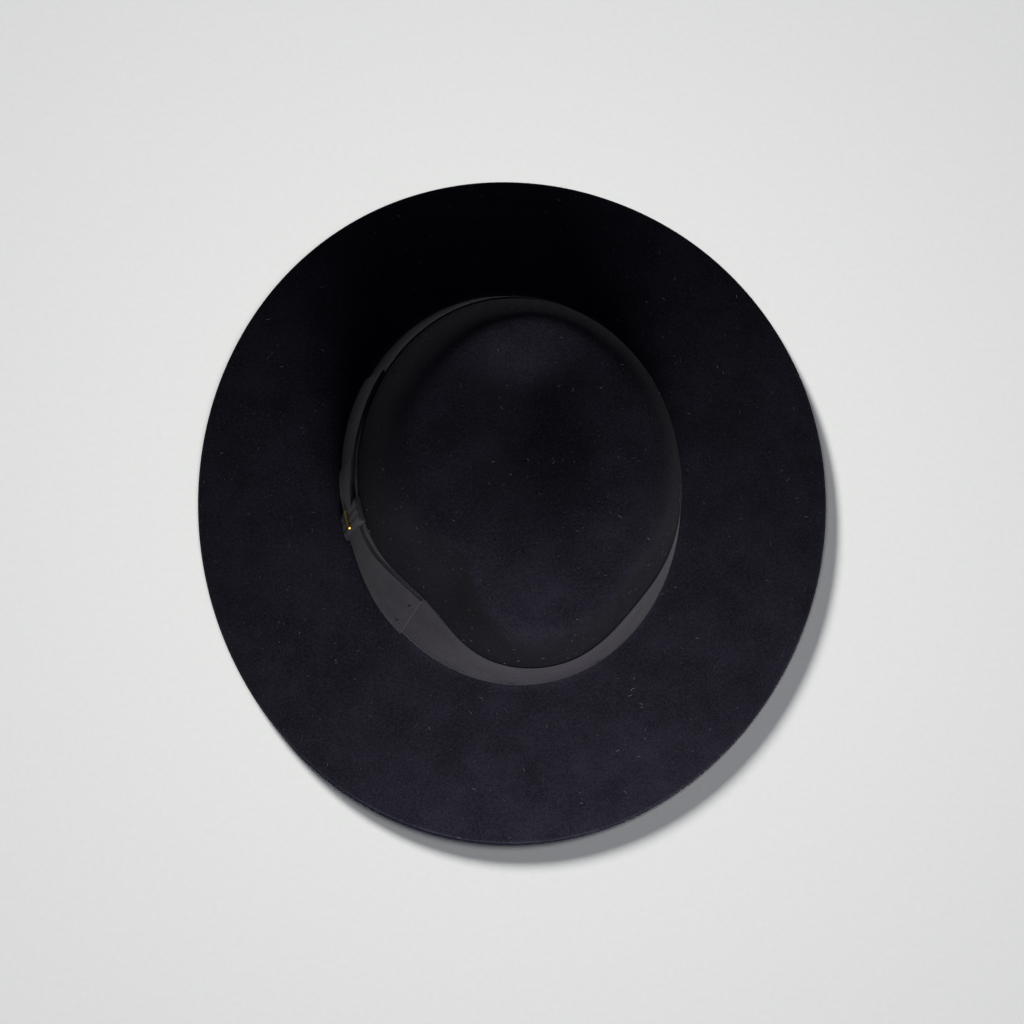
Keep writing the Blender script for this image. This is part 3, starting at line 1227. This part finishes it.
def sun_light(name, azimuth, elevation, soft_angle, strength):
    """An even light from far off; the soft angle is how wide it looks from the floor."""
    light = bpy.data.lights.new(name, "SUN")
    light.angle = math.radians(soft_angle)
    light.energy = strength
    lamp = bpy.data.objects.new(name, light)
    bpy.context.scene.collection.objects.link(lamp)
    turn, rise = math.radians(azimuth), math.radians(elevation)
    way = outward(turn) * math.cos(rise) + UP * math.sin(rise)
    lamp.rotation_euler = way.to_track_quat("Z", "Y").to_euler()
    return lamp


def group_of(name, things):
    """A collection that only names objects for a light."""
    group = bpy.data.collections.new(name)
    for thing in things:
        group.objects.link(thing)
    return group


CARD_HEIGHT = 7 * MM
card_rim = [(point[0], point[1], CARD_HEIGHT) for point in felt_outer[:, 0]]
card = make_object("shadow_card", card_rim, [tuple(range(SPOKES))], [floor_paper], smooth=False)
card.visible_camera = False
card.visible_diffuse = False
card.visible_glossy = False

hat_key = area_light("hat_key", 3, 26, 0.58, 0.42, 4.9)
back_fill = area_light("back_fill", 180, 6, 1.2, 0.9, 0.8)
floor_top = area_light("floor_top", 0, 90, 0.5, 0.4, 1.05)
floor_side = sun_light("floor_side", -149, 27, 13, 4.7)

world = bpy.data.worlds.new("studio")
bpy.context.scene.world = world
world.use_nodes = True
world.node_tree.nodes["Background"].inputs["Color"].default_value = linear("#98A4F5")
world.node_tree.nodes["Background"].inputs["Strength"].default_value = 0.05

CAMERA_DISTANCE = 1.3
CAMERA_AIM = Vector((-3.4, -7.0, 14)) * MM
CAMERA_TILT, CAMERA_LEFT, CAMERA_ROLL = (math.radians(angle) for angle in (11, 7.3, 5.15))
SEEN_WIDTH = 530 * MM
SENSOR = 36
back = Vector((-math.tan(CAMERA_LEFT), -math.tan(CAMERA_TILT), 1)).normalized()
level_up = Vector((0, 1, 0))
level_up = (level_up - back * level_up.dot(back)).normalized()
level_right = level_up.cross(back)
camera_up = level_up * math.cos(CAMERA_ROLL) + level_right * math.sin(CAMERA_ROLL)
camera_right = level_right * math.cos(CAMERA_ROLL) - level_up * math.sin(CAMERA_ROLL)
lens = bpy.data.cameras.new("camera")
lens.sensor_width = SENSOR
lens.lens = SENSOR * CAMERA_DISTANCE / SEEN_WIDTH
camera = bpy.data.objects.new("camera", lens)
bpy.context.scene.collection.objects.link(camera)
matrix = Matrix((camera_right, camera_up, back)).transposed().to_4x4()
matrix.translation = CAMERA_AIM + back * CAMERA_DISTANCE
camera.matrix_world = matrix
bpy.context.scene.camera = camera
bpy.context.scene.view_settings.view_transform = "Standard"

# %% [markdown]
# ## Last: link the lights, write the sizes and finish
# Every shown piece of the hat takes the low key; the floor takes its own. The last lines write the designed
# box and the finished one, to compare them.

# %% Link the lights and finish
stage = (floor, card)
hat_pieces = [thing for thing in bpy.context.scene.objects if thing.type == "MESH" and thing not in stage]
hat_group = group_of("lit_hat", hat_pieces)
floor_group = group_of("lit_floor", [floor])
card_group = group_of("blocks_side_light", [card])
for lamp in (hat_key, back_fill):
    lamp.light_linking.receiver_collection = hat_group
    lamp.light_linking.blocker_collection = hat_group
for lamp in (floor_top, floor_side):
    lamp.light_linking.receiver_collection = floor_group
floor_top.light_linking.blocker_collection = hat_group
floor_side.light_linking.blocker_collection = card_group
